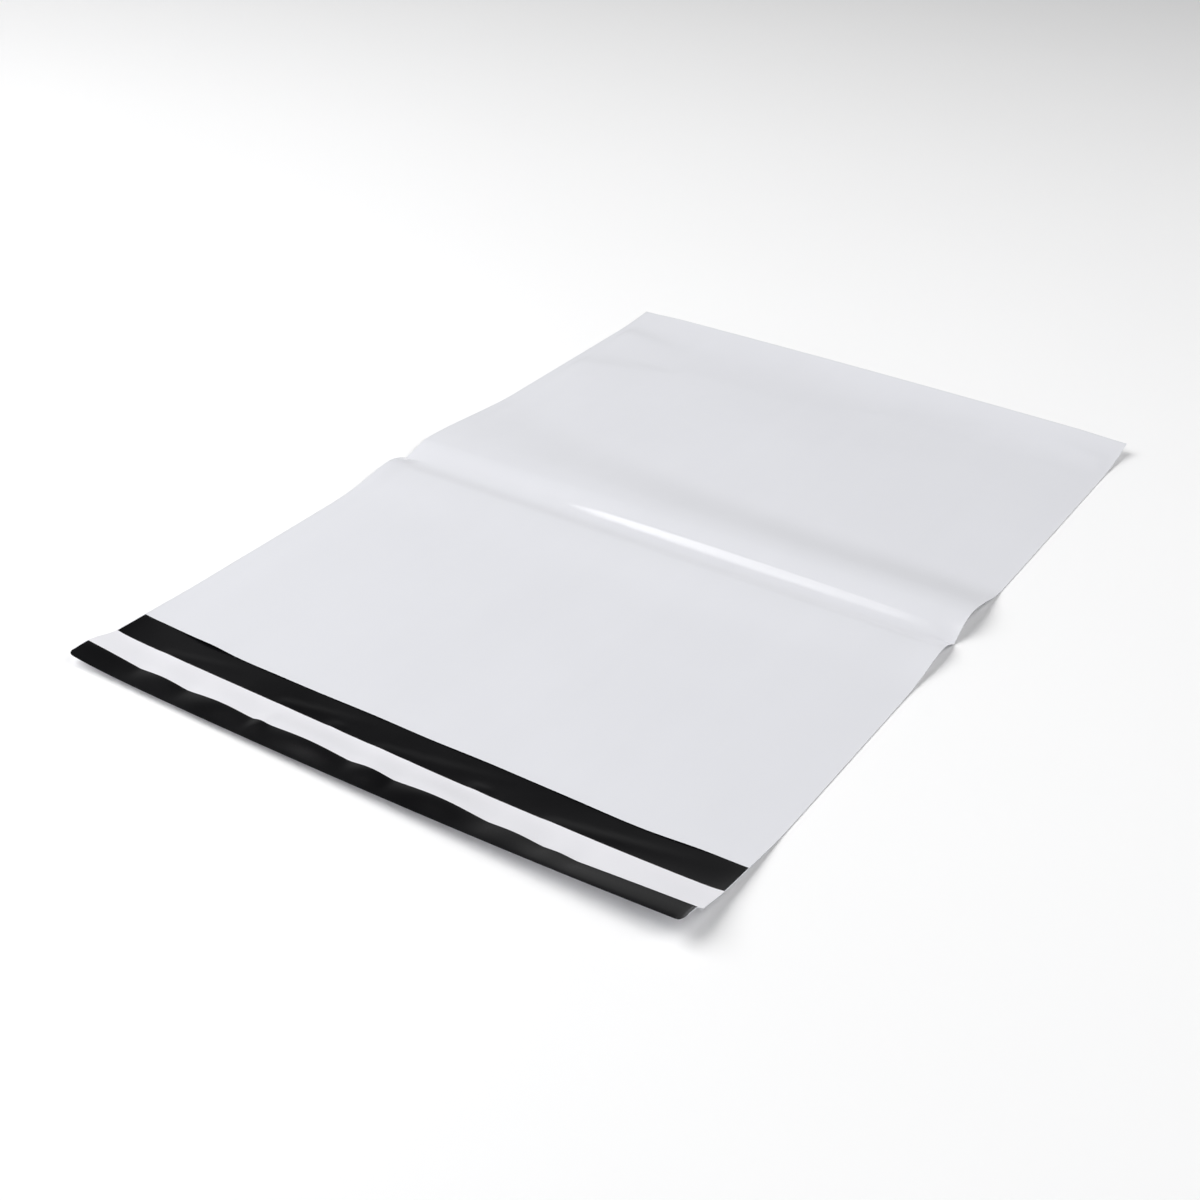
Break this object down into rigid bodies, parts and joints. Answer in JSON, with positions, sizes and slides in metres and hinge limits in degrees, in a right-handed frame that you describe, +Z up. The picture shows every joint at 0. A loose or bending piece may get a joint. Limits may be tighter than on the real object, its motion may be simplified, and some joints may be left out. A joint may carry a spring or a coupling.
{
  "type": "poly mailer bag",
  "caption": "Empty poly mailer bag lying flat with its sealing flap opened out: white film outside, black inside, release liner across the flap, fold crease across the middle.",
  "frame": {"origin": "under the middle of the bag and its opened flap, on the surface that the bag lies on", "axes": "+X across the bag, +Y from the flap's edge to the closed end, +Z up out of the front panel"},
  "size_m": [0.32, 0.5, 0.0108],
  "materials": {
    "white_film": "satin opaque polyethylene film",
    "black_film": "smooth glossy polyethylene film",
    "adhesive": "clear pale tacky hot melt",
    "liner": "smooth silicone-coated white release film"
  },
  "bodies": {
    "root": {"outer_film": "white_film", "inner_film": "black_film", "adhesive_strip": "adhesive", "release_liner": "liner"}
  },
  "joints": []
}
